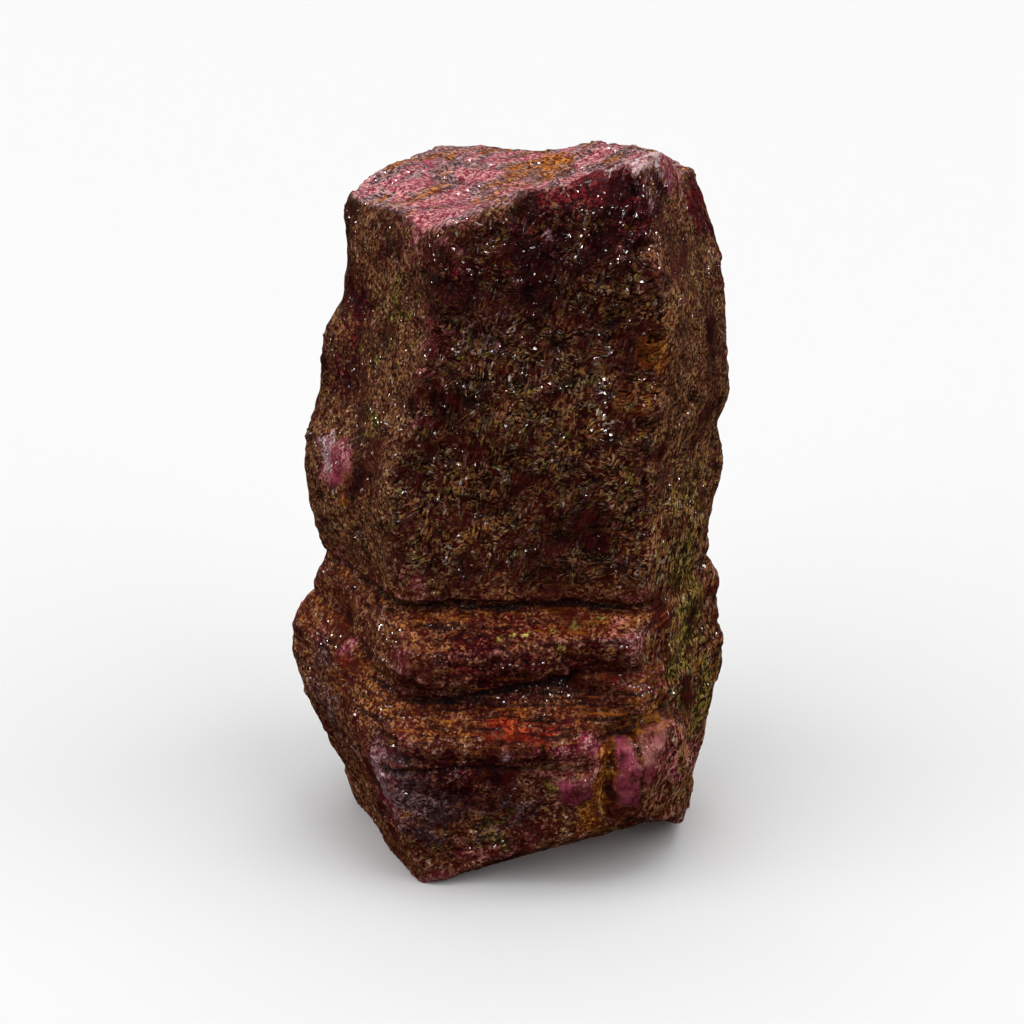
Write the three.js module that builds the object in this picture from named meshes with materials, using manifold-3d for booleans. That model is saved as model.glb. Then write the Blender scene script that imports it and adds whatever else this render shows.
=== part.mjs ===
// A raw ruby: one tapered six-sided corundum crystal, standing on its broken foot.
// A tall prism sits on a stepped foot of thicker growth slabs. The steps between them are
// basal partings that weathered back into grooves. Millimetres, +Z along the crystal's length.
import * as THREE from 'three';
import { ConvexGeometry } from 'three/addons/geometries/ConvexGeometry.js';
import { ImprovedNoise } from 'three/addons/math/ImprovedNoise.js';
import { mergeVertices } from 'three/addons/utils/BufferGeometryUtils.js';
import Module from 'manifold-3d';

const wasm = await Module();
wasm.setup();

// ---------------------------------------------------------------- driving dimensions

const PRISM_FOOT = 26.8; // height of the lowest edge of the tall prism
const RING_SPACING = 1.7; // height of one band of the skin
const SIDE_STEPS = 10; // skin points along one prism face
const CORNER_STEPS = 3; // skin points round one prism edge

// The six prism faces, anticlockwise from the front: the way each one looks, in degrees from +X.
const FACE_AZIMUTHS = [-91.5, -27, 30, 89, 149, 210];
const FRONT_LEFT = 5; // this face turns a little towards the left as it goes down the foot

// Growth of the foot from the ground up. z is the height at the front left edge; right and back
// are how much the layer climbs towards the front right edge and towards the back. faces are
// how far the six faces stand from the crystal's axis, edge is the set-back of the upright
// edges and turn is the turn of the front left face in degrees.
const FOOT_LAYERS = [
  { z: -2.0, right: 0, back: 0, faces: [16.8, 15.4, 14.1, 16.5, 13.6, 14.1], edge: 1.6, turn: -9 },
  { z: 3.0, right: 0, back: 0, faces: [17.3, 15.9, 14.9, 17.3, 15.0, 15.5], edge: 1.6, turn: -8 },
  { z: 8.0, right: 0, back: 0, faces: [18.4, 16.8, 15.7, 18.0, 16.4, 17.4], edge: 1.4, turn: -6 },
  { z: 11.4, right: 0, back: 0.6, faces: [19.3, 17.6, 16.4, 18.4, 17.4, 18.5], edge: 1.2, turn: -5 },
  { z: 13.0, right: 0.2, back: 1.2, faces: [19.5, 17.9, 16.8, 18.6, 18.0, 19.0], edge: 1.0, turn: -5 },
  { z: 13.5, right: 0.2, back: 1.3, faces: [19.0, 17.9, 16.8, 18.6, 18.1, 19.1], edge: 1.0, turn: -5 },
  { z: 14.0, right: 0.2, back: 1.4, faces: [19.6, 18.0, 16.8, 18.6, 18.2, 19.2], edge: 1.0, turn: -5 },
  { z: 15.4, right: 0.2, back: 2.6, faces: [19.3, 17.8, 16.6, 18.4, 18.1, 19.1], edge: 1.2, turn: -5 },
  { z: 16.1, right: 0.2, back: 3.2, faces: [18.3, 17.4, 16.4, 18.2, 17.8, 18.9], edge: 1.6, turn: -4 },
  { z: 16.5, right: 0.3, back: 3.8, faces: [18.0, 17.2, 16.2, 17.6, 17.5, 18.3], edge: 1.6, turn: -4 },
  { z: 17.2, right: 0.4, back: 4.2, faces: [16.8, 17.3, 16.2, 17.2, 16.8, 17.6], edge: 1.6, turn: -4 },
  { z: 17.6, right: 3.5, back: 4.2, faces: [15.4, 17.0, 16.2, 16.8, 16.2, 16.4], edge: 1.4, turn: -3 },
  { z: 18.2, right: 3.5, back: 4.0, faces: [16.8, 17.3, 16.2, 16.8, 16.4, 16.9], edge: 0.9, turn: -3 },
  { z: 20.4, right: 2.8, back: 2.9, faces: [17.4, 17.4, 16.3, 16.8, 16.5, 17.0], edge: 0.9, turn: -3 },
  { z: 22.8, right: 1.9, back: 1.4, faces: [17.4, 17.4, 16.3, 16.8, 16.4, 16.9], edge: 1.0, turn: -2 },
  { z: 23.3, right: 1.8, back: 1.2, faces: [16.9, 17.2, 16.2, 16.7, 16.3, 16.8], edge: 1.3, turn: -2 },
  { z: 23.7, right: 1.5, back: 1.1, faces: [16.3, 17.1, 16.2, 16.6, 16.3, 16.6], edge: 1.4, turn: -1 },
  { z: 24.1, right: 1.3, back: 0.9, faces: [16.2, 17.0, 16.2, 16.5, 16.2, 16.5], edge: 1.4, turn: -1 },
  { z: 24.4, right: 1.2, back: 0.8, faces: [15.3, 16.9, 16.0, 16.4, 16.3, 16.4], edge: 1.5, turn: -1 },
  { z: 25.1, right: 0.8, back: 0.5, faces: [15.1, 16.8, 16.0, 16.2, 16.2, 16.2], edge: 1.5, turn: 0 },
  { z: 25.5, right: 0.6, back: 0.4, faces: [13.5, 16.6, 15.4, 15.6, 16.0, 15.9], edge: 1.4, turn: 0 },
  { z: 26.3, right: 0.2, back: 0.2, faces: [13.5, 16.6, 15.4, 15.6, 15.8, 15.8], edge: 1.4, turn: 0 },
];

// The tall prism: share of the way from its lowest edge to the top, faces and edges as above.
const PRISM_LAYERS = [
  { share: 0, faces: [14.7, 16.8, 15.2, 16.2, 16.0, 16.2], edge: 1.2 },
  { share: 0.1, faces: [14.8, 16.9, 15.3, 16.3, 16.5, 16.7], edge: 1.0 },
  { share: 0.34, faces: [14.7, 17.2, 16.0, 16.4, 16.3, 16.6], edge: 1.0 },
  { share: 0.5, faces: [14.8, 17.6, 16.1, 16.4, 15.4, 15.3], edge: 1.0 },
  { share: 0.64, faces: [14.8, 17.5, 15.9, 16.2, 14.6, 14.6], edge: 1.0 },
  { share: 0.72, faces: [14.8, 17.3, 15.3, 16.0, 13.7, 13.7], edge: 1.0 },
  { share: 0.96, faces: [14.6, 15.8, 13.9, 16.0, 13.6, 13.0], edge: 1.0 },
  { share: 1, faces: [14.1, 15.4, 13.7, 15.6, 13.2, 12.5], edge: 1.2 },
];

// Nodules that stand out of the skin, and hollows with a minus height: place, reach and height.
const NODULES = [
  { at: [-17.6, -3, 35.2], reach: 3.6, height: 1.2 },
  { at: [-16.5, -7, 31.5], reach: 3.0, height: 0.5 },
  { at: [-16.4, 0, 45.8], reach: 3.2, height: 0.7 },
  { at: [18.6, -1, 34.6], reach: 3.0, height: 0.9 },
  { at: [18.8, -1, 38.4], reach: 1.6, height: -0.9 },
  { at: [17.6, 1, 27.9], reach: 2.6, height: -0.8 },
  { at: [18.2, 3, 13.6], reach: 2.6, height: 0.6 },
  { at: [15.2, -7, 44.5], reach: 4.0, height: 0.6 },
  { at: [17, -2, 6], reach: 4.5, height: -0.6 },
];

// ---------------------------------------------------------------- small tools

const noise = new ImprovedNoise();
const radians = THREE.MathUtils.degToRad;
const { lerp, smoothstep } = THREE.MathUtils;

// A smooth swell of the given height round a place, fading out over its reach.
function swell(x, y, centre, reach, height) {
  const away = Math.hypot(x - centre[0], y - centre[1]) / reach;
  return height * Math.exp(-away * away);
}

// Height of the broken top: low along the left, rising to a knob over the front right edge.
function topHeight(x, y) {
  const plain = 60.6 + 0.04 * x + 0.02 * y;
  const knob = swell(x, y, [11.6, -12], 8.6, 5.1);
  const ridge = swell(x, y, [0, -15.5], 4.6, 2.6);
  const rim = swell(x, y, [-12, 9], 6.5, 1.3) + swell(x, y, [10.5, 7], 6, 1.5)
    + swell(x, y, [4, 15], 3, -0.6);
  const waves = 0.55 * noise.noise(x / 6, y / 3.4, 3.1);
  return plain + knob + ridge + rim + waves;
}

// Gentle uneven growth that every skin point gets, so no face is a true plane.
function relief(point) {
  const { x, y, z } = point;
  const push = (scale, seed) => new THREE.Vector3(
    noise.noise(x / scale + seed, y / scale, z / scale),
    noise.noise(x / scale, y / scale + seed, z / scale),
    0.5 * noise.noise(x / scale, y / scale, z / scale + seed),
  );
  const outward = new THREE.Vector3(x, y, 0).normalize();
  const nodules = NODULES.reduce((sum, { at, reach, height }) => {
    const away = point.distanceTo(new THREE.Vector3(...at)) / reach;
    return sum + height * Math.exp(-away * away);
  }, 0);
  return point.clone()
    .addScaledVector(push(9, 11.7), 0.75)
    .addScaledVector(push(3.6, 5.3), 0.3)
    .addScaledVector(outward, nodules);
}

// ---------------------------------------------------------------- the crystal's skin

// The rounded hexagon that six face distances make.
function outline({ faces, edge, turn = 0 }) {
  const azimuth = (i) => radians(FACE_AZIMUTHS[i % 6] + (i % 6 === FRONT_LEFT ? turn : 0));
  const corner = (i) => {
    const [a, b] = [azimuth(i), azimuth(i + 1)];
    const [da, db] = [faces[i % 6], faces[(i + 1) % 6]];
    const span = Math.sin(b - a);
    return new THREE.Vector2(
      (da * Math.sin(b) - db * Math.sin(a)) / span,
      (db * Math.cos(a) - da * Math.cos(b)) / span,
    );
  };
  const points = [];
  for (let side = 0; side < 6; side += 1) {
    const from = corner(side + 5);
    const to = corner(side);
    const next = corner(side + 1);
    const setBack = edge / from.distanceTo(to);
    for (let i = 0; i <= SIDE_STEPS; i += 1) {
      const along = lerp(setBack, 1 - setBack, i / SIDE_STEPS);
      points.push(from.clone().lerp(to, along));
    }
    const leave = from.clone().lerp(to, 1 - setBack);
    const arrive = to.clone().lerp(next, edge / to.distanceTo(next));
    const bend = new THREE.QuadraticBezierCurve(leave, to, arrive);
    for (let i = 1; i < CORNER_STEPS; i += 1) points.push(bend.getPoint(i / CORNER_STEPS));
  }
  return points;
}

// A layer part of the way between two others.
function between(low, high, share) {
  const mix = (a, b) => (Array.isArray(a) ? a.map((d, i) => lerp(d, b[i], share)) : lerp(a, b, share));
  return Object.fromEntries(Object.keys(low).map((key) => [key, mix(low[key], high[key])]));
}

// The layers with more laid in between, so no band is taller than the ring spacing.
function filledIn(layers, heightOf) {
  return layers.flatMap((low, i) => {
    const high = layers[i + 1];
    if (!high) return [low];
    const bands = Math.max(1, Math.round((heightOf(high) - heightOf(low)) / RING_SPACING));
    return Array.from({ length: bands }, (_, band) => between(low, high, band / bands));
  });
}

function ringsOfFoot() {
  const layers = [...FOOT_LAYERS, { ...FOOT_LAYERS.at(-1), z: PRISM_FOOT }];
  return filledIn(layers, (layer) => layer.z).slice(0, -1).map((layer) => outline(layer)
    .map(({ x, y }) => {
      const toRight = layer.right * smoothstep(x, -10, 11);
      const climb = lerp(toRight, layer.back, smoothstep(y, -19, -6));
      return new THREE.Vector3(x, y, layer.z + climb);
    }));
}

function ringsOfPrism() {
  return filledIn(PRISM_LAYERS, (layer) => 36 * layer.share).map((layer) => outline(layer)
    .map(({ x, y }) => new THREE.Vector3(x, y, lerp(PRISM_FOOT, topHeight(x, y), layer.share))));
}

function ringsOfTop() {
  const rim = outline(PRISM_LAYERS.at(-1));
  return [0.93, 0.82, 0.7, 0.57, 0.43, 0.28, 0.13]
    .map((share) => rim.map((p) => {
      const [x, y] = [p.x * share, p.y * share];
      return new THREE.Vector3(x, y, topHeight(x, y));
    }));
}

// Closes stacked rings into one skin, with a point at each end.
function skin(rings) {
  const count = rings[0].length;
  const points = rings.flat().map(relief);
  const centreOf = (ring) => ring
    .reduce((sum, p) => sum.add(p), new THREE.Vector3())
    .divideScalar(count);
  const bottom = points.push(centreOf(rings[0])) - 1;
  const top = points.push(centreOf(rings.at(-1))) - 1;
  const index = [];
  rings.forEach((_, ring) => {
    for (let i = 0; i < count; i += 1) {
      const next = (i + 1) % count;
      const [a, b] = [ring * count + i, ring * count + next];
      if (ring === 0) index.push(bottom, b, a);
      if (ring === rings.length - 1) index.push(top, a, b);
      else index.push(a, b, b + count, a, b + count, a + count);
    }
  });
  const geometry = new THREE.BufferGeometry().setFromPoints(points);
  geometry.setIndex(index);
  return geometry;
}

// ---------------------------------------------------------------- joins and cuts

function solid(geometry) {
  const bare = geometry.clone();
  bare.deleteAttribute('normal');
  bare.deleteAttribute('uv');
  const merged = mergeVertices(bare, 1e-3);
  return new wasm.Manifold(new wasm.Mesh({
    numProp: 3,
    vertProperties: merged.attributes.position.array,
    triVerts: new Uint32Array(merged.index.array),
  }));
}

// Everything beyond a plane: the way the plane looks, its rise above level, and a point on it.
function beyond({ azimuth, rise, at }) {
  const reach = 60;
  const out = new THREE.Vector3(
    Math.cos(radians(azimuth)) * Math.cos(radians(rise)),
    Math.sin(radians(azimuth)) * Math.cos(radians(rise)),
    Math.sin(radians(rise)),
  );
  const block = new THREE.BoxGeometry(reach, reach, reach);
  block.applyQuaternion(new THREE.Quaternion().setFromUnitVectors(new THREE.Vector3(0, 0, 1), out));
  const middle = new THREE.Vector3(...at).addScaledVector(out, reach / 2);
  block.translate(middle.x, middle.y, middle.z);
  return solid(block);
}

function geometryOf(manifold) {
  const mesh = manifold.getMesh();
  const geometry = new THREE.BufferGeometry();
  geometry.setAttribute('position', new THREE.BufferAttribute(new Float32Array(mesh.vertProperties), 3));
  geometry.setIndex(new THREE.BufferAttribute(new Uint32Array(mesh.triVerts), 1));
  return geometry;
}

// A small faceted body from its corner points: a grown crystal, or the shape of a chip.
function faceted(corners) {
  return solid(new ConvexGeometry(corners.map((corner) => new THREE.Vector3(...corner))));
}

// ---------------------------------------------------------------- the object

const GROUND = { azimuth: 0, rise: -90, at: [0, 0, 0] };
const ABOVE_FOOT = { azimuth: 0, rise: 90, at: [0, 0, 17.1] };

// Flat breaks in the foot: its front right corner, its front left corner, and a long one
// that undercuts its front.
const FOOT_BREAKS = [
  { azimuth: -52, rise: 4, at: [11.5, -15.6, 10] },
  { azimuth: -135, rise: 12, at: [-11.9, -18.2, 12] },
  { azimuth: -60, rise: -56, at: [-8, -16.6, 0.1] },
];
const SHOULDER_BREAK = { azimuth: -10, rise: 22, at: [15.4, -4, 60.6] };

// A thin second slab that shows only at the front right edge, between the foot and its slab.
const THIN_SLAB = [
  [2.5, -14, 17.0], [5.4, -17.0, 17.2], [11.2, -17.4, 17.3], [13.5, -14, 17.2],
  [2.5, -14, 21.2], [5.8, -16.4, 20.8], [11.0, -17.0, 19.6], [13.5, -14, 21.0], [11, -14.6, 21.8],
];

// The clean magenta crystal that grew over the broken front right corner of the foot.
const CORNER_CRYSTAL = [
  [9.2, -17.9, 15.2], [8.0, -18.7, 11.7], [9.2, -17.8, 8.0], [11.0, -17.0, 6.6], [11.1, -18.8, 12.6],
  [10.8, -17.6, 15.3], [14.2, -14.8, 15.6], [15.6, -13.2, 10.5], [14.4, -12.6, 4.6],
  [16.0, -8.0, 13.5], [16.2, -6.5, 6.0], [15.4, -8.2, 1.4], [15.8, -3.6, -0.5],
  [9.5, -8, 15.8], [9.5, -8, 4.0],
];

// The open gully that runs down beside it.
const GULLY = [
  [3.8, -23, 18.4], [12, -23, 18.4], [7.8, -17.4, 18.4],
  [4.4, -23, 4.6], [12.2, -23, 4.6], [8.3, -17.5, 4.6],
];

// The glossy scoop broken out of the knob's front edge, and a small pit left of it.
const SCOOP = [
  [0.5, -22, 61.8], [10, -22, 62.2], [1.2, -14.6, 62.4], [9.4, -14.6, 62.6],
  [1.8, -12.4, 65.2], [8.4, -12.2, 66.4], [1, -12, 72], [9, -12, 72], [0, -22, 72], [10, -22, 72],
];
const PIT = [[-2.2, -15.8, 61.8], [0.4, -15.8, 62.0], [-0.9, -12.6, 63.2], [-2.4, -15, 64], [0.6, -15, 64]];

let crystal = solid(skin([...ringsOfFoot(), ...ringsOfPrism(), ...ringsOfTop()]));
const join = (corners) => { crystal = crystal.add(faceted(corners)); };
const cut = (away) => { crystal = crystal.subtract(away); };

FOOT_BREAKS.forEach((plane) => cut(beyond(plane).subtract(beyond(ABOVE_FOOT))));
[THIN_SLAB, CORNER_CRYSTAL].forEach(join);
[GULLY, SCOOP, PIT].map(faceted).forEach(cut);
[SHOULDER_BREAK, GROUND].map(beyond).forEach(cut);

// The part's own middle is the middle of its footprint box.
const { min, max } = crystal.boundingBox();
crystal = crystal.translate([-(min[0] + max[0]) / 2, -(min[1] + max[1]) / 2, 0]);

const ruby = new THREE.Mesh(
  geometryOf(crystal),
  new THREE.MeshStandardMaterial({ color: 0x4a1a1a, roughness: 0.55, metalness: 0 }),
);
ruby.name = 'ruby_crystal';

const specimen = new THREE.Group();
specimen.add(ruby);

export default specimen;
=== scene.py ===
"""A raw ruby crystal: a dark, mica-clad hexagonal prism with a broken pink top, on weathered ledges."""

import math

import bmesh
import bpy
import numpy as np
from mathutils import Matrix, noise


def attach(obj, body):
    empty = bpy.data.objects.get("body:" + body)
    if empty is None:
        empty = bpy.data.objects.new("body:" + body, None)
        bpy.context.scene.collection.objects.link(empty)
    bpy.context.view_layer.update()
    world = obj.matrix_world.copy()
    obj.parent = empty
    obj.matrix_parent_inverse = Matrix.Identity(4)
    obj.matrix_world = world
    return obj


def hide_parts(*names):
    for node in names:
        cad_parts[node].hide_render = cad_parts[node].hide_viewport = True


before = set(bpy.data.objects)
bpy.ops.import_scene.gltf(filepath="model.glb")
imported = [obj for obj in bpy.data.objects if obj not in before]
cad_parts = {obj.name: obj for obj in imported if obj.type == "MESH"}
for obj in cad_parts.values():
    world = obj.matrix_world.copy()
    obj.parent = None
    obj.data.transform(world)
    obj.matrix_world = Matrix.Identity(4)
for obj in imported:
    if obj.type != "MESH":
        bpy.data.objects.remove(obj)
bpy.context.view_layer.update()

MM = 0.001
GRAIN = 0.355  # between neighbouring points of the finished surface, in mm
GIRTH = 16.0  # the prism's mean radius, in mm, which turns an angle round it into a distance along its skin


# ---------------------------------------------------------------- camera, floor and light

# A short telephoto lens, a quarter of a metre away, that looks down by 21 degrees.
camera = bpy.data.objects.new("camera", bpy.data.cameras.new("camera"))
camera.data.sensor_width = 36
camera.data.lens = 87.33
camera.data.clip_start = 0.01
camera.location = (0.00034, -0.2145, 0.1123)
camera.rotation_euler = (math.radians(69), 0, 0)
bpy.context.collection.objects.link(camera)
bpy.context.scene.camera = camera
bpy.context.scene.view_settings.view_transform = "Standard"


def linear(hex_colour):
    """An sRGB hex colour as the linear colour that a shader takes."""
    parts = [int(hex_colour[i : i + 2], 16) / 255 for i in (1, 3, 5)]
    return (*(c / 12.92 if c <= 0.04045 else ((c + 0.055) / 1.055) ** 2.4 for c in parts), 1.0)


def add(tree, kind, settings, output=0):
    """Adds a node and gives one of its outputs. A setting is a property, a value or an output to link."""
    node = tree.nodes.new("ShaderNode" + kind)
    for name, value in settings.items():
        if isinstance(value, bpy.types.NodeSocket):
            tree.links.new(value, node.inputs[name])
        elif isinstance(name, int) or name in node.inputs:
            node.inputs[name].default_value = value
        else:
            setattr(node, name, value)
    return node.outputs[output] if node.outputs else None


def material(name):
    """An empty node material, and the tree to fill."""
    made = bpy.data.materials.new(name)
    made.use_nodes = True
    made.node_tree.nodes.clear()
    return made, made.node_tree


def matt_white_card():
    """Uncoated white card: bright, even and without shine."""
    card, tree = material("matt_white_card")
    skin = add(tree, "BsdfPrincipled", {"Base Color": linear("#f2f2f2"), "Roughness": 0.9, "IOR": 1.45})
    add(tree, "OutputMaterial", {"Surface": skin})
    return card


table = bmesh.new()
bmesh.ops.create_grid(table, x_segments=8, y_segments=8, size=3.0)
bmesh.ops.translate(table, vec=(0, 0, -0.02 * MM), verts=table.verts)
floor = bpy.data.objects.new("floor", bpy.data.meshes.new("floor"))
table.to_mesh(floor.data)
table.free()
floor.data.materials.append(matt_white_card())
bpy.context.collection.objects.link(floor)
floor.visible_glossy = False
floor.visible_diffuse = False

room = bpy.data.worlds.new("studio")
room.use_nodes = True
room.node_tree.nodes["Background"].inputs["Color"].default_value = linear("#ffffff")
room.node_tree.nodes["Background"].inputs["Strength"].default_value = 0.12
room.cycles_visibility.glossy = False
bpy.context.scene.world = room

# Each lamp: its irradiance, the width of sky that it fills, its azimuth (0 is over the camera) and its
# height. The softboxes are crossed with the lens filter, so they light the stone without a sheen; the small
# lamps give the glints.
for name, strength, width, azimuth, height in (
    ("overhead_softbox", 1.55, 60, 180, 82),
    ("left_softbox", 1.2, 65, -58, 42),
    ("right_softbox", 1.15, 65, 66, 40),
    ("left_spark", 0.5, 5, -36, 30),
    ("right_spark", 0.5, 5, 34, 44),
    ("near_spark", 0.5, 5, -8, 14),
    ("low_spark", 0.5, 5, 50, 12),
    ("far_left_spark", 0.5, 5, -108, 12),
    ("far_right_spark", 0.5, 5, 112, 14),
    ("back_spark", 0.5, 5, 196, 34),
    ("high_spark", 0.5, 5, 150, 58),
):
    lamp = bpy.data.objects.new(name, bpy.data.lights.new(name, "SUN"))
    lamp.data.energy = strength
    lamp.data.angle = math.radians(width)
    soft = width > 20
    lamp.visible_glossy = not soft
    lamp.visible_diffuse = soft
    lamp.rotation_euler = (math.radians(90 - height), 0, math.radians(azimuth))
    bpy.context.collection.objects.link(lamp)


# ---------------------------------------------------------------- the stone's surface

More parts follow.
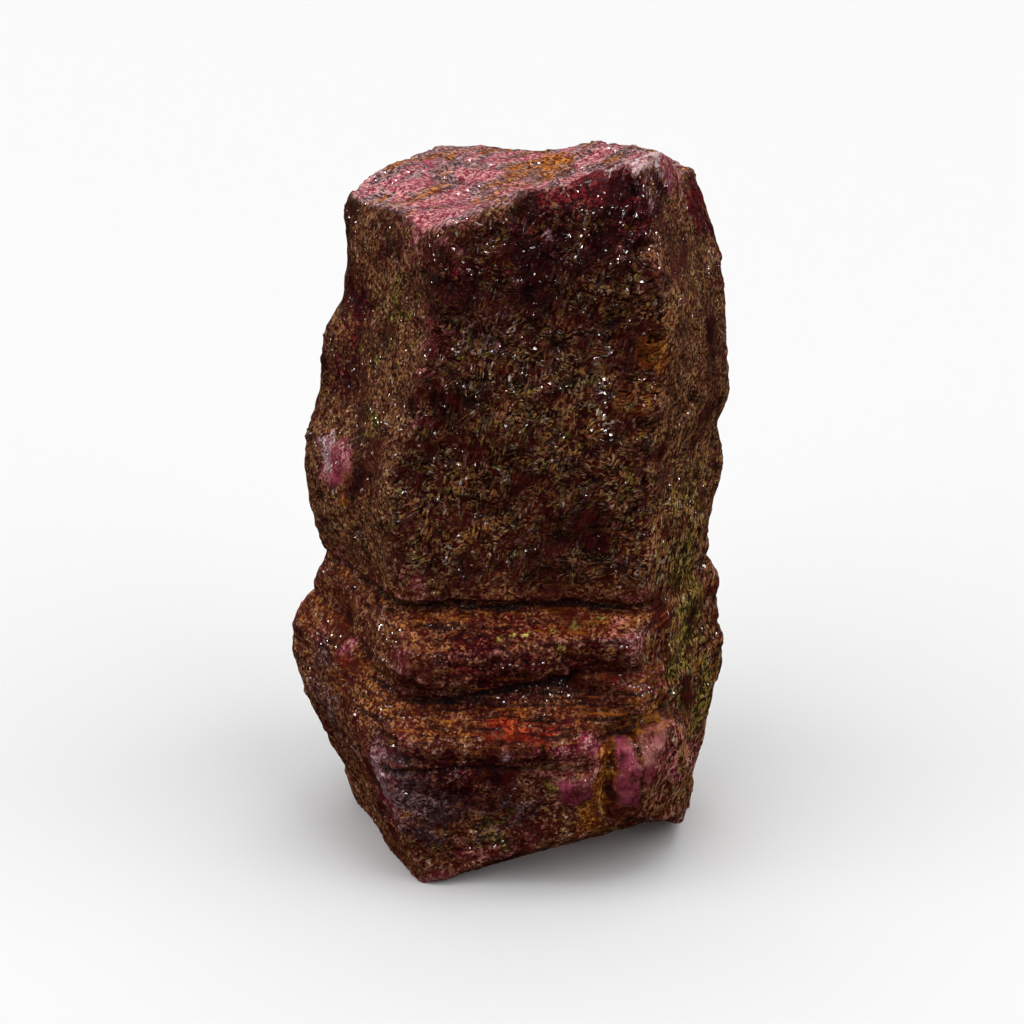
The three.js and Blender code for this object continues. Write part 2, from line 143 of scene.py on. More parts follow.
# Where each stain, clean patch or painted highlight lies: its middle in mm, how far it reaches, and how
# strong it is.
PATCHES = {
    "rose": (
        ((-5.3, -9.3, 60.4), 3.6, 0.9), ((-9.4, 1.0, 61.0), 1.8, 0.8), ((-2.6, 3.5, 60.7), 1.8, 0.9),
        ((-3.0, 9.6, 61.0), 2.0, 0.6), ((1.5, -1.7, 61.2), 2.0, 1.0), ((12.4, -9.8, 65.0), 2.4, 0.9),
        ((14.5, -7.0, 63.6), 2.0, 0.7), ((-15.6, -5.8, 37.2), 2.2, 1.0), ((4.6, -19.2, 14.5), 1.5, 1.0),
        ((2.6, -19.2, 15.2), 0.9, 0.8), ((7.3, -18.4, 14.8), 1.1, 0.9), ((15.5, -13.6, 10.2), 1.3, 0.7),
        ((13.5, -16.3, 13.8), 0.9, 0.6), ((-14.6, -8.9, 20.4), 0.9, 0.8), ((10.4, -16.9, 24.2), 1.1, 0.7),
    ),
    "blush_and_edge_highlight": (
        ((-7.9, -13.8, 43.6), 1.4, 0.5), ((-6.6, -13.4, 52.0), 2.0, 0.5), ((-7.4, -13.6, 47.8), 1.6, 0.5),
        ((-8.7, -14.3, 29.0), 1.4, 0.6), ((9.8, -16.8, 24.4), 1.8, 0.7), ((-10.4, -15.6, 23.4), 1.6, 0.6),
        ((11.6, -15.9, 20.2), 2.2, 0.6), ((4.6, -19.1, 14.7), 1.8, 0.9), ((7.6, -18.8, 14.2), 1.6, 0.9),
        ((-9.8, -16.6, 15.9), 1.8, 0.5), ((14.6, -14.3, 11.5), 3.0, 0.85), ((-18.2, -4.1, 19.6), 1.8, 0.8),
        ((13.5, -15.3, 15.0), 2.0, 0.7), ((17.2, -3.4, 6.1), 3.4, 0.7), ((5.4, -18.9, 11.0), 2.0, 0.7),
        ((-2.0, -17.4, 2.4), 2.4, 0.6), ((3.0, -17.0, 4.0), 2.6, 0.5), ((-12.0, -15.0, 7.0), 2.6, 0.6),
        ((-14.0, -3.0, 26.5), 2.0, 0.5), ((-5.4, -12.8, 56.6), 2.4, 0.6),
    ),
    "rust": (
        ((3.5, 9.7, 61.0), 3.4, 1.0), ((-9.0, -3.0, 60.3), 1.4, 0.8), ((-1.6, -4.6, 60.5), 2.0, 1.0),
        ((5.0, 4.0, 60.8), 2.4, 0.8), ((-9.0, 8.0, 61.2), 1.6, 0.6), ((0.0, 0.6, 60.8), 1.6, 0.7),
    ),
    "ochre": (
        ((12.4, -14.0, 51.0), 1.6, 0.7), ((12.6, -13.6, 48.8), 1.4, 0.8), ((11.6, -14.0, 44.8), 1.8, 0.5),
        ((-5.9, -14.8, 25.0), 2.6, 0.35), ((0.5, -17.4, 17.2), 2.6, 0.6), ((8.4, -17.8, 14.0), 1.2, 1.0),
        ((8.3, -17.8, 11.6), 1.2, 1.0), ((8.2, -17.8, 9.0), 1.3, 1.0), ((7.8, -17.4, 6.4), 1.6, 0.9),
        ((12.4, -14.6, 17.2), 2.6, 0.9), ((-14.9, -4.8, 25.1), 1.6, 0.6), ((-14.7, -7.2, 36.0), 0.8, 0.9),
        ((-14.4, -7.6, 34.0), 0.7, 0.8), ((-12.6, -12.4, 9.0), 1.0, 0.7), ((-3.6, -18.0, 15.6), 1.6, 0.7),
        ((3.0, -14.2, 38.0), 1.4, 0.3), ((6.5, -14.2, 43.0), 1.2, 0.5), ((-3.0, -14.2, 33.0), 1.0, 0.5),
        ((-14.2, -7.4, 37.4), 0.9, 0.8),
    ),
    "olive": (
        ((-10.6, -13.0, 35.1), 1.6, 0.5), ((16.6, -6.5, 22.4), 4.0, 0.8), ((15.1, -10.1, 19.0), 3.4, 0.8),
        ((17.9, -4.8, 13.0), 4.0, 0.75), ((16.2, -7.4, 34.7), 4.5, 0.4), ((16.7, -5.2, 55.3), 3.0, 0.35),
        ((3.8, -18.8, 11.2), 1.0, 0.9), ((-1.4, -17.6, 5.9), 2.6, 0.7), ((-5.5, -17.0, 4.0), 1.6, 0.6),
        ((2.0, -14.5, 43.5), 5.0, 0.25), ((16.0, -7.0, 28.0), 4.0, 0.6), ((5.2, -14.4, 47.0), 1.4, 0.4),
        ((-12.4, -9.2, 42.0), 2.0, 0.6), ((-9.6, -9.6, 52.0), 2.2, 0.7), ((-12.9, -7.6, 48.0), 2.4, 0.5),
    ),
    "gold": (
        ((-0.7, -15.9, 24.2), 0.4, 1.0), ((0.4, -15.6, 24.6), 0.3, 0.9), ((1.5, -15.9, 24.3), 0.4, 1.0),
        ((3.7, -15.6, 24.9), 0.4, 1.0), ((4.6, -16.9, 23.7), 0.4, 0.9), ((5.6, -15.2, 25.2), 0.5, 0.9),
        ((7.2, -14.9, 25.6), 0.5, 1.0), ((8.2, -14.6, 25.7), 0.4, 1.0), ((-4.0, -15.8, 24.6), 0.3, 0.9),
        ((8.4, -17.8, 12.0), 0.8, 0.5), ((8.2, -17.8, 8.5), 0.9, 0.5), ((14.6, -12.0, 16.6), 0.8, 0.8),
        ((16.0, -9.0, 14.0), 0.8, 0.7), ((-12.9, -4.7, 47.4), 0.5, 0.9),
    ),
    "mauve": (
        ((-10.6, -17.4, 11.0), 3.0, 1.0), ((-9.8, -16.8, 7.6), 1.8, 0.8), ((14.6, -14.0, 15.2), 1.6, 0.6),
        ((-17.2, -5.0, 18.0), 2.2, 0.5), ((-9.0, 4.6, 60.8), 3.2, 0.9), ((-3.4, -0.6, 60.5), 2.0, 0.9),
        ((-0.6, 6.0, 60.8), 2.2, 0.6), ((9.0, 5.0, 62.0), 4.4, 0.8), ((7.8, -14.5, 46.5), 1.2, 0.5),
        ((-6.5, -17.6, 9.0), 4.6, 0.7), ((-3.0, -14.2, 52.0), 3.0, 0.3), ((0.5, -17.8, 8.5), 2.6, 0.5),
        ((-16.6, -7.1, 13.0), 4.0, 0.4), ((3.3, -0.4, 61.4), 1.4, 0.9), ((8.5, -8.5, 64.6), 2.2, 0.7),
    ),
    "magenta": (
        ((-15.0, -6.6, 35.4), 1.1, 0.9), ((-15.8, -5.6, 37.0), 0.7, 0.8), ((3.0, -1.6, 61.4), 1.0, 0.8),
        ((12.9, -17.2, 12.1), 1.2, 0.7), ((-7.5, 7.0, 61.0), 1.2, 0.5), ((-4.5, -5.0, 60.4), 1.5, 0.55),
        ((-8.6, 2.0, 60.8), 1.0, 0.5), ((11.6, -8.6, 65.0), 1.2, 0.5),
    ),
    "red": (
        ((-1.5, -18.1, 16.2), 1.1, 0.9), ((0.2, -17.7, 16.7), 1.2, 0.8), ((2.0, -18.5, 16.2), 1.0, 0.8),
        ((3.9, -18.4, 16.0), 0.9, 0.9), ((1.6, -0.9, 60.9), 0.8, 0.7), ((3.4, -14.8, 26.2), 0.5, 0.9),
        ((-14.9, -9.2, 18.9), 0.8, 0.9), ((-12.6, -12.6, 15.2), 0.6, 0.8), ((9.4, -16.4, 20.6), 1.2, 0.6),
    ),
    "wine": (
        ((6.2, -10.8, 63.8), 4.6, 1.0), ((6.8, -8.6, 64.2), 2.6, 0.9), ((9.9, -13.9, 62.0), 3.4, 1.0),
        ((16.8, -3.1, 59.3), 3.0, 1.0), ((-13.6, -4.1, 50.0), 2.6, 0.6), ((-15.2, -2.4, 44.0), 2.6, 0.5),
        ((2.0, -14.4, 58.0), 4.0, 0.5), ((-1.0, -16.9, 22.0), 6.5, 0.45), ((6.5, -16.9, 22.0), 3.5, 0.4),
        ((-4.6, -14.0, 56.4), 3.0, 0.5), ((3.4, -18.8, 14.6), 1.8, 0.5), ((-4.0, -18.6, 12.0), 4.0, 0.5),
    ),
    "glassy": (
        ((6.9, -11.6, 63.6), 4.0, 1.0), ((10.4, -13.7, 61.6), 3.6, 1.0), ((1.5, -9.7, 62.0), 1.6, 0.6),
        ((16.8, -3.1, 59.3), 2.6, 0.7), ((-2.0, -14.2, 46.0), 1.6, 0.7), ((-8.6, -11.0, 56.0), 2.6, 1.0),
        ((-15.4, -6.1, 36.9), 2.0, 0.5), ((-8.4, -13.0, 52.0), 2.2, 0.8), ((4.0, -14.0, 54.0), 5.0, 0.5),
    ),
    # Pale stone; on the top front right corner and on the chipped corner of the foot it is partly painted
    # highlight and glints.
    "pale_and_highlight": (
        ((11.2, -11.4, 65.6), 2.0, 1.0), ((-5.0, -12.0, 60.2), 1.4, 0.6), ((3.5, -14.2, 60.0), 0.45, 0.9),
        ((3.7, -14.2, 58.3), 0.35, 0.8), ((-0.2, -19.1, 14.1), 0.5, 0.8), ((-11.5, -16.8, 11.3), 1.5, 0.95),
        ((-10.9, -17.0, 9.8), 1.3, 0.85), ((-12.0, -16.6, 12.9), 1.1, 0.85),
        ((-10.4, -16.5, 7.6), 0.9, 0.8), ((-9.9, -16.0, 5.6), 0.8, 0.7), ((-16.4, -4.8, 36.8), 1.0, 0.8),
        ((-16.6, -4.2, 38.4), 1.3, 0.85), ((-16.1, -5.2, 36.2), 0.6, 0.8), ((-15.2, -6.3, 34.2), 0.5, 0.7),
        ((-0.9, -14.2, 50.4), 0.3, 0.8), ((-1.0, -7.0, 60.7), 1.2, 0.3),
    ),
}

# Clean cleavage faces on the small crystals at the front right of the foot, by their colour: corners across
# and up the front, in mm.
CLEAVED = {
    "magenta": (
        ((9.3, 12.0), (9.2, 15.0), (10.5, 15.4), (12.0, 12.0), (11.5, 7.9), (10.2, 8.5)),
        ((4.1, 11.4), (6.8, 12.8), (7.6, 10.4), (5.8, 8.6)),
    ),
    "blush_and_edge_highlight": (((11.2, 16.2), (14.2, 17.0), (14.2, 14.4), (13.0, 11.6), (12.3, 12.2)),),
}


def evenly_faced_copy(node):
    """The CAD solid's surface, joined up, in mm, and cut into small even faces with its edges eased."""
    shape = bmesh.new()
    shape.from_mesh(node.data)
    bmesh.ops.remove_doubles(shape, verts=shape.verts, dist=1e-6)
    bmesh.ops.scale(shape, vec=(1 / MM,) * 3, verts=shape.verts)
    rough = bpy.data.objects.new("rough", bpy.data.meshes.new("rough"))
    shape.to_mesh(rough.data)
    shape.free()
    bpy.context.collection.objects.link(rough)
    cut = rough.modifiers.new("cut", "REMESH")
    cut.mode = "VOXEL"
    cut.voxel_size = GRAIN
    cut.use_smooth_shade = True
    ease = rough.modifiers.new("ease", "SMOOTH")
    ease.factor = 0.5
    ease.iterations = 1
    settled = rough.evaluated_get(bpy.context.evaluated_depsgraph_get())
    stone = bpy.data.meshes.new_from_object(settled)
    bpy.data.objects.remove(rough)
    return stone


def values(things, name, width, kind=float):
    """One property of every vertex, edge, corner or face, as an array."""
    found = np.empty(len(things) * width, np.float32 if kind is float else np.int32)
    things.foreach_get(name, found)
    return found.reshape(-1, width).astype(kind) if width > 1 else found.astype(kind)


def softened(amounts, edges, rounds):
    """Every point's amount evened out with its neighbours', again and again."""
    count = np.bincount(edges.ravel(), minlength=len(amounts))
    for _ in range(rounds):
        around = [
            sum(np.bincount(edges[:, end], one[edges[:, 1 - end]], len(one)) for end in (0, 1))
            for one in amounts.T
        ]
        amounts = (amounts + np.stack(around, 1) / count[:, None]) / 2
    return amounts


def grain(points, size, seed, depth=1):
    """Smooth noise from -1 to 1 with swells of the given size in mm. Each seed is a stretch of its own."""
    spots = (points / size + seed * 17.3).tolist()
    if depth == 1:
        return np.array([noise.noise(spot) for spot in spots])
    return np.array([noise.fractal(spot, 0.7, 2.1, depth) for spot in spots])


def steps(points, size, seed):
    """Random grains of the given size: each point's grain number from 0 to 1, and how far inside it lies."""
    spots = (points / size + seed * 9.1).tolist()
    found = [noise.voronoi(spot) for spot in spots]
    number = np.array([noise.cell(at[0] * 53.0) for _, at in found])
    border = np.array([near[1] - near[0] for near, _ in found])
    return number % 1.0, border


def chips(points, size, seed):
    """Flat chips of the given size in mm, each with its own slope, meeting in creases: heights around 0."""
    spots = (points / size + seed * 3.3).tolist()
    heights = []
    for spot in spots:
        middle = noise.voronoi(spot)[1][0]
        slope = noise.cell_vector(middle * 71.0)
        heights.append(sum((at - mid) * (tilt - 0.5) for at, mid, tilt in zip(spot, middle, slope)))
    return np.array(heights)


def layers(points, thickness, seed):
    """Growth layers of this thickness in mm, wavy and broken off in places: each one's number, 0 to 1."""
    wave = 0.6 * grain(points, 7.0, seed + 30) + 0.3 * grain(points, 2.5, seed + 60)
    up = points[:, 2] / thickness + wave
    spots = np.column_stack([points[:, 0] / 9 + wave, points[:, 1] / 9 - wave, up]) + seed * 5.7
    return np.array([noise.cell(spot) for spot in spots.tolist()]) % 1.0


def within(points, corners):
    """How far each point lies inside a convex outline on the front, in mm, with its corners clockwise."""
    depth = np.full(len(points), 9.0)
    for (x1, z1), (x2, z2) in zip(corners, corners[1:] + corners[:1]):
        away = (points[:, 0] - x1) * (z2 - z1) - (points[:, 2] - z1) * (x2 - x1)
        depth = np.minimum(depth, away / math.hypot(x2 - x1, z2 - z1))
    return depth


def ramp(amount, low, high):
    """0 below low, 1 above high, smooth between."""
    t = np.clip((amount - low) / (high - low), 0, 1)
    return t * t * (3 - 2 * t)


def between(height, low, high):
    """1 in a band of heights, in mm, and 0 outside it, with soft ends of 1 mm inside the band."""
    return ramp(height, low, low + 1) * ramp(-height, -high, 1 - high)


def along_skin(points, flat):
    """Where each point lies on the unrolled skin, in mm: round the sides and up, or across where flat."""
    x, y, z = points.T
    return np.stack([np.where(flat, x, np.arctan2(x, -y) * GIRTH), np.where(flat, y, z)], 1)


# Every point's place in mm, the way out of the stone there, and the points that its edges join. A point
# within 0.25 mm of the table keeps its height, so that the stone rests on its flat.
stone = evenly_faced_copy(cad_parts["ruby_crystal"])
place = values(stone.vertices, "co", 3)
out = values(stone.vertices, "normal", 3)
edges = values(stone.edges, "vertices", 2, int)
x, y, z = place.T
grounded = z < 0.25
broad_out = softened(out, edges, 12)
broad_out /= np.linalg.norm(broad_out, axis=1)[:, None]
bulge = ((place - softened(place, edges, 30)) * out).sum(1)

# How far each point belongs to each part of the stone, from 0 to 1.
top = ramp(broad_out[:, 2], 0.55, 0.85) * ramp(z, 52, 56)
foot = ramp(-z, -30, -27)
front = ramp(-softened(out, edges, 4)[:, 1], 0.78, 0.9)
right = ramp(broad_out[:, 0], 0.5, 0.8)
upper_ledge = between(z, 23.6, 27.8)
lower_ledge = between(z, 14.6, 20.6)

# How strong each patch is at each point. Its border wanders, and a cleaved face's is torn.
patch = {}
drift = np.stack([grain(place, 2.2, seed, 2) for seed in (21, 22, 23)], 1)
for name, spots in PATCHES.items():
    reach = [
        strength * np.exp(-(((place + 1.2 * drift * min(size, 2.5) - middle) / size) ** 2).sum(1))
        for middle, size, strength in spots
    ]
    patch[name] = np.max(reach, 0)
patch["clean"] = patch["magenta"].copy()
cleaved = 0 * x
for name, outlines in CLEAVED.items():
    for outline in outlines:
        face = ramp(within(place + 0.5 * drift, outline), -0.2, 0.4) * (y < -10)
        face *= np.clip(0.8 + 0.9 * grain(place, 1.4, 31, 2), 0, 1)
        patch[name] = np.maximum(patch[name], face)
        cleaved = np.maximum(cleaved, face)
patch["clean"] = np.maximum(patch["clean"], cleaved)

# The grain of the stone runs along its skin and sways by up to a radian. Pits are single grains that fell
# out, and one crack runs across the front of the foot.
lean = grain(place, 9.0, 3)
flat = np.abs(broad_out[:, 2]) > 0.75
side, up = along_skin(place, flat).T
turned = [side * np.cos(lean) + up * np.sin(lean), up * np.cos(lean) - side * np.sin(lean), 0 * x]
turned = np.stack(turned, 1)
grain_number, grain_border = steps(place, np.array([2.3, 2.3, 1.9]), 4)
pits = ramp(0.16 - grain_number, 0, 0.1) * ramp(grain_border, 0.1, 0.5)
crack = np.exp(-(((z - 12.8 - 0.047 * x - 0.3 * grain(place, 3.0, 14)) / 0.3) ** 2))
crack *= ramp(-y, 14, 16) * ramp(-x, -8.5, -7)

# How far each point stands out of the solid, in mm: swells and ripples, ridges along the grain, flat chips
# in three sizes, the sugary break of the top, then the pits and the wear of the edges. Cleaved faces are
# smooth and stand a little proud.
rise = 0.12 * grain(place, 5.5, 1) + 0.07 * grain(place, 1.9, 2, 2)
rise += 0.10 * grain(turned, np.array([2.6, 0.9, 1.0]), 5) * (1 - top) * (1 - 0.7 * foot)
rise += 0.5 * chips(place, 3.6, 5) * (0.5 + 0.5 * np.maximum(foot, top)) + 0.2 * chips(place, 1.4, 6)
rise += 0.35 * chips(place, 2.2, 9) * foot
rise += 0.16 * grain(place, np.array([1.7, 2.6, 1.2]), 8, 3) * top
rise -= 0.35 * pits * (1 - 0.6 * foot)
rise -= 0.2 * np.clip(bulge, 0, 1) * (0.6 + 1.5 * grain(place, 2.2, 9)) * (1 - 0.6 * foot)
rise *= 1 - 0.8 * np.clip(patch["clean"], 0, 1)
rise += 0.2 * cleaved
rise -= 0.6 * crack + 0.06
rise[grounded] = 0
place += out * np.clip(rise, -0.9, 0.35)[:, None]

# Growth layers stand out or back sideways, most of all in the ledges.
sideways = broad_out * (1, 1, 0)
sideways /= np.linalg.norm(sideways, axis=1)[:, None] + 1e-9
shelf = (layers(place, 0.75, 6) - 0.6) * (0.75 * upper_ledge + 0.4 * lower_ledge) * (0.35 + 0.65 * front)
shelf += (layers(place, 1.3, 7) - 0.5) * 0.2 * foot
shelf *= ramp(1 - np.abs(broad_out[:, 2]), 0.02, 0.3) * (1 - grounded)
place += sideways * shelf[:, None]
place[:, 2] = np.maximum(place[:, 2], 0)
stone.vertices.foreach_set("co", place.astype(np.float32).ravel())
stone.update()

# The finished relief gives the convex edges, painted paler partly as wear and partly as painted highlight,
# the hollows and creases, painted dark as painted shade, and the treads.
out = values(stone.vertices, "normal", 3)
fine_bulge = ((place - softened(place, edges, 6)) * out).sum(1)
wide_bulge = ((place - softened(place, edges, 40)) * out).sum(1)
x, y, z = place.T
tread = ramp(softened(out, edges, 2)[:, 2], 0.2, 0.65) * foot

# The break of the top is banded slantwise in rose, mauve and rust.
across = (place @ np.array([[0.62, 0.78, 0], [-0.78, 0.62, 0], [0, 0, 1]]).T) / np.array([7.0, 1.9, 3.0])
bands = grain(across, 1.0, 12, 2)
patch["rose"] = np.maximum(patch["rose"], top * (0.2 + 1.2 * np.clip(bands, -0.6, 0.5)))
patch["mauve"] = np.maximum(patch["mauve"], 0.9 * top)
patch["rust"] = np.maximum(patch["rust"], np.maximum(0.5 * top * ramp(-bands, 0.05, 0.35), 0.35 * tread))
# Convex edges are painted paler: partly wear, partly a painted highlight where the edges catch the light.
patch["worn"] = ramp(wide_bulge, 0.12, 0.5) * (1 - 0.8 * np.clip(patch["wine"], 0, 1))
# On the foot, convex edges are painted blush as well: a painted edge highlight.
patch["blush_and_edge_highlight"] = np.maximum(patch["blush_and_edge_highlight"], 0.85 * ramp(wide_bulge, 0.14, 0.45) * foot)
# The gully is kept out of the painted shade and painted lighter through the felt amount: painted light
# reaching into it.
gully = patch["ochre"] * ramp(x, 6.6, 7.4) * ramp(-x, -10, -9.4) * ramp(-z, -16.5, -15)
# Painted shade: hollows, creases and the crack are darkened where shade falls in them.
patch["hollow"] = ramp(-fine_bulge, 0.0, 0.12) * 0.6 + ramp(-wide_bulge, 0.1, 0.6) * 0.4
patch["hollow"] = np.maximum(patch["hollow"], 0.8 * crack) * (1 - 0.85 * gully)

# How thick the felt of mica and grit is, with painted light and shade in it: the front is painted darker,
# and the right side, the lower left of the foot, the gully and the pale, rose, blush and clean patches are
# painted lighter than their lighting leaves them. Then where its needles lie, and where they run in long
# fibres.
felt = (1 - 0.6 * front * (1 - foot)) * (0.9 + 1.3 * grain(place, 5.0, 15, 2))
felt *= 0.8 + right * (0.2 + 0.42 * ramp(-z, -38, -28))
felt += 0.24 * ramp(-x, 8, 12) * ramp(-z, -38, -30)
patch["felt"] = np.max([felt, gully, *(patch[name] for name in ("pale_and_highlight", "rose", "blush_and_edge_highlight", "clean"))], 0)
patch["top"] = top
patch["foot"] = 0.75 * foot
patch["dull"] = 1 - 0.55 * patch["glassy"] * (1 - top)
patch["mica"] = (1 - foot) * (1 - top) * (0.25 + 0.75 * front)
patch["mica"] = np.maximum(patch["mica"], right * (0.5 + 0.45 * ramp(-z, -42, -32)))
patch["fibrous"] = right * ramp(-z, -34, -28)
patch["ledge"] = np.maximum(np.maximum(upper_ledge, lower_ledge), 0.4 * foot)

for name, amount in patch.items():
    share = np.clip(amount, 0, 1).astype(np.float32)
    stone.attributes.new(name, "FLOAT", "POINT").data.foreach_set("value", share)

# The skin unrolled as a UV map in mm. Each face goes by its own middle, so that none is torn at the seam.
corner = values(stone.loops, "vertex_index", 1, int)
sides = values(stone.polygons, "loop_total", 1, int)
whole = np.repeat(np.arange(len(sides)), sides)
facing = np.bincount(whole, broad_out[corner, 2]) / sides
lies_flat = (np.abs(facing) > 0.75)[whole]
unrolled = along_skin(place[corner], lies_flat)
behind = (np.bincount(whole, y[corner]) / sides > 0)[whole]
unrolled[:, 0] += np.where(~lies_flat & behind & (unrolled[:, 0] < 0), 2 * math.pi * GIRTH, 0)
stone.uv_layers.new(name="skin").uv.foreach_set("vector", unrolled.astype(np.float32).ravel())

stone.transform(((MM, 0, 0, 0), (0, MM, 0, 0), (0, 0, MM, 0), (0, 0, 0, 1)))
stone.shade_smooth()
stone.name = "crystal"
crystal = bpy.data.objects.new("crystal", stone)
bpy.context.collection.objects.link(crystal)


# ---------------------------------------------------------------- the stone's finish

def mottling(tree, here):
    """Noise through the stone, by its use."""
    # The size of its swells in mm along each axis, its detail, its roughness and its shift in mm.
    mottle = {}
    for name, size, detail, rough, shift in (
        ("bed", (1.7, 1.7, 1.7), 3.0, 0.65, 3.0),
        ("cross_bed", (1.7, 1.7, 1.7), 3.0, 0.65, 11.0),
        ("broad", (1.8, 1.8, 1.8), 5.0, 0.75, 9.0),
        ("ground", (1.5, 1.5, 1.5), 3.0, 0.6, 0.0),
        ("tear", (1.0, 1.0, 1.0), 4.0, 0.7, 5.0),
        ("sugar", (0.8, 0.8, 0.8), 5.0, 0.75, 13.0),
        ("lamina", (5.0, 5.0, 0.34), 3.0, 0.6, 7.0),
        ("cluster", (4.0, 4.0, 4.0), 2.0, 0.6, 17.0),
        ("streak", (0.35, 0.35, 2.8), 3.0, 0.6, 19.0),
    ):
        scale = tuple(one * MM for one in size)
        spread = {"vector_type": "TEXTURE", "Location": (shift * MM,) * 3, "Scale": scale}
        moved = add(tree, "Mapping", {**spread, "Vector": here})
        swells = {"Vector": moved, "Scale": 1.0, "Detail": detail, "Roughness": rough}
        mottle[name] = add(tree, "TexNoise", swells)
    return mottle


def needles(tree, amount, mottle):
    """Mica needles on the skin, 0.6 to 0.8 mm long and 0.2 mm wide, which lie one way within 2 mm or so:
    a random colour for each needle, and how far each point is from a needle's middle."""
    skin = add(tree, "UVMap", {"uv_map": "skin"})
    crooked = add(tree, "TexNoise", {"Vector": skin, "Scale": 1.1, "Detail": 2.0}, "Color")
    skin = add(tree, "VectorMath", {"operation": "MULTIPLY_ADD", 0: crooked, 1: (0.4, 0.4, 0.0), 2: skin})
    cross_bed = add(tree, "Math", {"operation": "ADD", 0: mottle["cross_bed"], 1: amount["fibrous"]})
    colour = ridge = None
    for turn, length, width, bed in (
        (34, 0.7, 0.2, None),
        (-14, 0.56, 0.18, mottle["bed"]),
        (76, 0.8, 0.2, cross_bed),
    ):
        lie = {"vector_type": "TEXTURE", "Rotation": (0, 0, math.radians(turn)), "Scale": (length, width, 1)}
        along = add(tree, "Mapping", {**lie, "Vector": skin})
        line = add(tree, "TexVoronoi", {"voronoi_dimensions": "2D", "Vector": along, "Scale": 1.0})
        other = line.node.outputs["Color"]
        if bed:
            which = add(tree, "MapRange", {"Value": bed, "From Min": 0.5, "From Max": 0.51})
            other = add(tree, "Mix", {"data_type": "RGBA", 0: which, 6: colour, 7: other}, 2)
            line = add(tree, "Mix", {0: which, 2: ridge, 3: line})
        colour, ridge = other, line
    return colour, ridge


def lightness(tree, amount, mottle, chance, crest, grit):
    """How light the stone is at a point, from 0 to 1, before it is given a colour."""
    # Each needle has its own chance to be light, is lightest on its crest, and has grit on it.
    light = add(tree, "MapRange", {"Value": chance, "From Min": 0.4, "From Max": 1.0})
    light = add(tree, "Math", {"operation": "MULTIPLY", 0: light, 1: crest})
    speck = add(tree, "MapRange", {"Value": grit, "From Min": 0.6, "From Max": 1.0, "To Max": 0.5})
    light = add(tree, "Math", {"operation": "ADD", 0: light, 1: speck})
    clear = {"From Min": 0.4, "From Max": 0.64, "To Min": 0.1, "To Max": 2.2}
    broad = add(tree, "MapRange", {"Value": mottle["broad"], **clear})
    light = add(tree, "Math", {"operation": "MULTIPLY", 0: light, 1: broad})

    # Earthy stone has no needles: its light comes in soft clouds, broken by the grit.
    cloud = add(tree, "MapRange", {"Value": mottle["sugar"], "From Min": 0.4, "From Max": 0.64})
    cloud = {"operation": "MULTIPLY_ADD", 0: amount["top"], 1: 0.2, 2: cloud, "use_clamp": True}
    cloud = add(tree, "Math", cloud)
    sugar = {"Value": grit, "From Min": 0.3, "From Max": 1.0, "To Min": 0.04, "To Max": 1.3}
    sugar = add(tree, "MapRange", sugar)
    sugar = add(tree, "Math", {"operation": "MULTIPLY", 0: cloud, 1: sugar, "use_clamp": True})
    sugar = add(tree, "Math", {"operation": "MULTIPLY", 0: sugar, 1: 0.64})
    light = add(tree, "Mix", {0: amount["mica"], 2: sugar, 3: light})
    # The felt amount carries painted light and shade as well as the felt's own thickness.
    full = add(tree, "Math", {"operation": "MAXIMUM", 0: amount["felt"], 1: amount["top"]})
    light = add(tree, "Math", {"operation": "MULTIPLY", 0: light, 1: full})
    light = add(tree, "Math", {"operation": "MULTIPLY", 0: light, 1: 2.2, "use_clamp": True})

    # Clean stone has neither: it is faintly streaked up its length.
    sheen = {"operation": "MULTIPLY_ADD", 0: mottle["streak"], 1: 0.45, 2: mottle["ground"]}
    sheen = add(tree, "Math", sheen)
    sheen = add(tree, "MapRange", {"Value": sheen, "From Min": 0.55, "From Max": 1.0})
    light = add(tree, "Mix", {0: amount["clean"], 2: light, 3: sheen})
    return add(tree, "Math", {"operation": "MULTIPLY", 0: light, 1: amount["dull"]})


def felted_ground(tree, amount, mottle, light, needle_kind, grit_kind):
    """Dark maroon corundum under needles and grains of biotite, muscovite and rusty clay."""
    tints = (
        (0.0, "#c48448"), (0.3, "#b87054"), (0.46, "#ac803c"),
        (0.62, "#c8a07c"), (0.8, "#b09c48"), (0.94, "#f8e4cc"),
    )
    kind = add(tree, "Mix", {0: amount["mica"], 2: grit_kind, 3: needle_kind})
    needle = add(tree, "ValToRGB", {"Fac": kind})
    steps_of_tint = needle.node.color_ramp
    steps_of_tint.interpolation = "CONSTANT"
    for at, tint in tints[1:]:
        steps_of_tint.elements.new(at)
    for stop, (at, tint) in zip(steps_of_tint.elements, tints):
        stop.position = at
        stop.color = linear(tint)
    own_tint = add(tree, "Math", {"operation": "MULTIPLY_ADD", 0: amount["mica"], 1: 0.5, 2: 0.5})
    needle = add(tree, "Mix", {"data_type": "RGBA", 0: own_tint, 6: linear("#c47c54"), 7: needle}, 2)
    soaked = add(tree, "MapRange", {"Value": mottle["ground"], "From Min": 0.35, "From Max": 0.65})
    dark = add(tree, "Mix", {"data_type": "RGBA", 0: soaked, 6: linear("#1e0504"), 7: linear("#50100a")}, 2)
    dark = add(tree, "Mix", {"data_type": "RGBA", 0: amount["foot"], 6: dark, 7: linear("#540f08")}, 2)
    return add(tree, "Mix", {"data_type": "RGBA", 0: light, 6: dark, 7: needle}, 2)


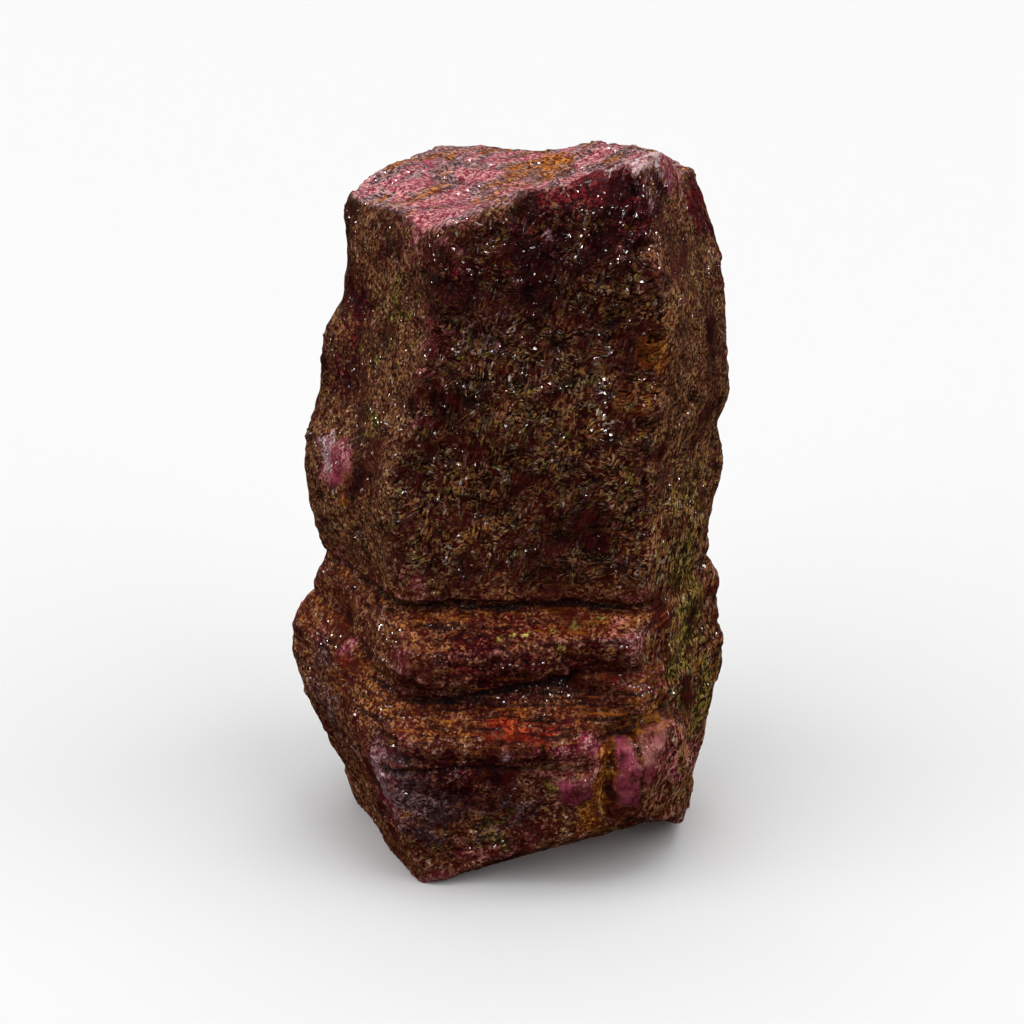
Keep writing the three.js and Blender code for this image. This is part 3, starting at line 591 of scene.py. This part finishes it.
def stained(tree, amount, mottle, light, ground, needle_tear):
    """The ground with its patches, its growth layers, its painted shade in hollows, and its edges painted
    paler, partly as wear and partly as painted highlight.
    """
    # Each kind of patch: its dark colour, its light colour and where it starts. Noise and single needles
    # tear its border.
    torn = add(tree, "Math", {"operation": "MULTIPLY_ADD", 0: needle_tear, 1: 0.4, 2: mottle["tear"]})
    for name, low, high, start in (
        ("olive", "#2e2204", "#c4a84c", 0.95),
        ("mauve", "#44242a", "#c8a09e", 0.9),
        ("blush_and_edge_highlight", "#6c141c", "#f09c90", 0.95),
        ("rust", "#581c04", "#dc8838", 0.95),
        ("ochre", "#6c2a02", "#f4a444", 0.95),
        ("rose", "#881a38", "#f4a8a6", 0.95),
        ("wine", "#280206", "#881a22", 0.85),
        ("magenta", "#620a22", "#dc647c", 0.95),
        ("red", "#6c0c06", "#dc5828", 0.95),
        ("gold", "#5c3c0c", "#fce07c", 1.0),
        # Pale: partly pale stone, partly painted highlights and glints.
        ("pale_and_highlight", "#a05c68", "#fff4f4", 1.0),
    ):
        body = add(tree, "Mix", {"data_type": "RGBA", 0: light, 6: linear(low), 7: linear(high)}, 2)
        near = add(tree, "Math", {"operation": "ADD", 0: torn, 1: amount[name]})
        covers = add(tree, "MapRange", {"Value": near, "From Min": start, "From Max": start + 0.3})
        ground = add(tree, "Mix", {"data_type": "RGBA", 0: covers, 6: ground, 7: body}, 2)

    # Growth layers of 0.3 mm show as dark seams and rusty lines in the ledges, and faintly on all the foot.
    for low, high, most, colour_of_line in ((0.5, 0.36, 0.85, "#180505"), (0.6, 0.68, 0.5, "#c06c14")):
        line = {"Value": mottle["lamina"], "From Min": low, "From Max": high, "To Max": most}
        line = add(tree, "MapRange", line)
        line = add(tree, "Math", {"operation": "MULTIPLY", 0: line, 1: amount["ledge"]})
        ground = add(tree, "Mix", {"data_type": "RGBA", 0: line, 6: ground, 7: linear(colour_of_line)}, 2)

    # Painted shade: the hollows, creases and the crack go towards near black.
    shade = {"Value": amount["hollow"], "From Min": 0.1, "From Max": 0.9, "To Max": 0.75}
    shade = add(tree, "MapRange", shade)
    ground = add(tree, "Mix", {"data_type": "RGBA", 0: shade, 6: ground, 7: linear("#120404")}, 2)
    # Convex edges are painted paler: partly wear, partly a painted edge highlight.
    wear_and_highlight = {"Value": light, "From Min": 0.3, "From Max": 0.8, "To Min": 0.05, "To Max": 0.7}
    wear_and_highlight = add(tree, "MapRange", wear_and_highlight)
    wear_and_highlight = add(tree, "Math", {"operation": "MULTIPLY", 0: wear_and_highlight, 1: amount["worn"]})
    return add(tree, "Mix", {"data_type": "RGBA", 0: wear_and_highlight, 6: ground, 7: linear("#c49484")}, 2)


def facets(tree, amount, colour, grains):
    """The way that each needle and grain faces: each has a tilt of its own, so that a few at a time catch a
    lamp. Cleaved faces lie nearly as the stone's own surface does."""
    facing = smooth = add(tree, "NewGeometry", {}, "Normal")
    level = (0.5, 0.5, 0.5, 1.0)
    lying = add(tree, "Mix", {"data_type": "RGBA", 0: amount["mica"], 6: level, 7: colour}, 2)
    strewn = add(tree, "Mix", {"data_type": "RGBA", 0: amount["mica"], 6: grains, 7: level}, 2)
    for random, much in ((lying, 0.9), (strewn, 0.5), (grains, 0.2)):
        tilted = {"operation": "MULTIPLY_ADD", 0: random, 1: (much,) * 3, 2: facing}
        facing = add(tree, "VectorMath", tilted)
        facing = add(tree, "VectorMath", {"operation": "SUBTRACT", 0: facing, 1: (much / 2,) * 3})
    facing = add(tree, "VectorMath", {"operation": "NORMALIZE", 0: facing})
    calm = {"Value": amount["clean"], "From Min": 0.2, "From Max": 0.7, "To Max": 0.85}
    calm = add(tree, "MapRange", calm)
    return add(tree, "Mix", {"data_type": "VECTOR", 0: calm, 4: facing, 5: smooth}, 1)


def glints(tree, amount, mottle, grit_flash):
    """How strongly each grain shines: mica flakes and glassy stone catch the lamps in clusters, and the
    grains under the painted shade in hollows and the faintly etched cleaved faces stay matt."""
    often = {"operation": "MULTIPLY_ADD", 0: amount["glassy"], 1: 0.1, 2: mottle["cluster"]}
    often = add(tree, "Math", often)
    often = add(tree, "MapRange", {"Value": often, "From Min": 0.44, "From Max": 0.6, "To Max": 0.6})
    shine = add(tree, "MapRange", {"Value": grit_flash, "From Min": 0.5, "From Max": 0.52})
    shine = add(tree, "Math", {"operation": "MULTIPLY", 0: shine, 1: often})
    wet = add(tree, "Math", {"operation": "MULTIPLY", 0: amount["glassy"], 1: 0.16})
    shine = add(tree, "Math", {"operation": "MAXIMUM", 0: shine, 1: wet})
    matt = add(tree, "Math", {"operation": "MAXIMUM", 0: amount["clean"], 1: amount["hollow"]})
    matt = add(tree, "MapRange", {"Value": matt, "From Max": 0.8, "To Min": 1.0, "To Max": 0.1})
    return add(tree, "Math", {"operation": "MULTIPLY", 0: shine, 1: matt})


def weathered_corundum():
    """Corundum as it weathers out of mica schist: a dark maroon ground felted with short mica needles, with
    clean rose and wine-red stone on its breaks, rust and clay in its ledges and olive mica on its right. Its
    index of refraction, 1.77, gives the glints; the felt under them is matt."""
    stuff, tree = material("weathered_corundum")
    here = add(tree, "TexCoord", {}, "Object")
    amount = {name: add(tree, "Attribute", {"attribute_name": name}, "Fac") for name in patch}
    mottle = mottling(tree, here)
    colour, ridge = needles(tree, amount, mottle)
    chance = add(tree, "SeparateColor", {"Color": colour})
    needle_kind = chance.node.outputs[1]
    needle_tear = chance.node.outputs[2]
    crest = add(tree, "MapRange", {"Value": ridge, "From Min": 0.6, "From Max": 0.1})

    # Grains of 0.2 mm lie between and over the needles.
    grains = add(tree, "TexVoronoi", {"Vector": here, "Scale": 1 / (0.21 * MM)}, "Color")
    grit = add(tree, "SeparateColor", {"Color": grains})
    grit_flash = grit.node.outputs[1]
    grit_kind = grit.node.outputs[2]

    light = lightness(tree, amount, mottle, chance, crest, grit)
    ground = felted_ground(tree, amount, mottle, light, needle_kind, grit_kind)
    facing = facets(tree, amount, colour, grains)
    height = add(tree, "Mix", {0: amount["mica"], 2: mottle["sugar"], 3: crest})
    height = add(tree, "Math", {"operation": "MULTIPLY_ADD", 0: mottle["lamina"], 1: 0.6, 2: height})
    relief = {"Strength": 0.7, "Distance": 0.1 * MM, "Height": height, "Normal": facing}
    surface = {
        "IOR": 1.77,
        "Specular IOR Level": 0.03,
        "Roughness": 0.6,
        "Coat Roughness": 0.14,
        "Coat IOR": 1.77,
        "Base Color": stained(tree, amount, mottle, light, ground, needle_tear),
        "Coat Weight": glints(tree, amount, mottle, grit_flash),
        "Normal": add(tree, "Bump", relief),
        "Coat Normal": facing,
    }
    add(tree, "OutputMaterial", {"Surface": add(tree, "BsdfPrincipled", surface)})
    return stuff


stone.materials.clear()
stone.materials.append(weathered_corundum())
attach(crystal, "root")
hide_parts("ruby_crystal")
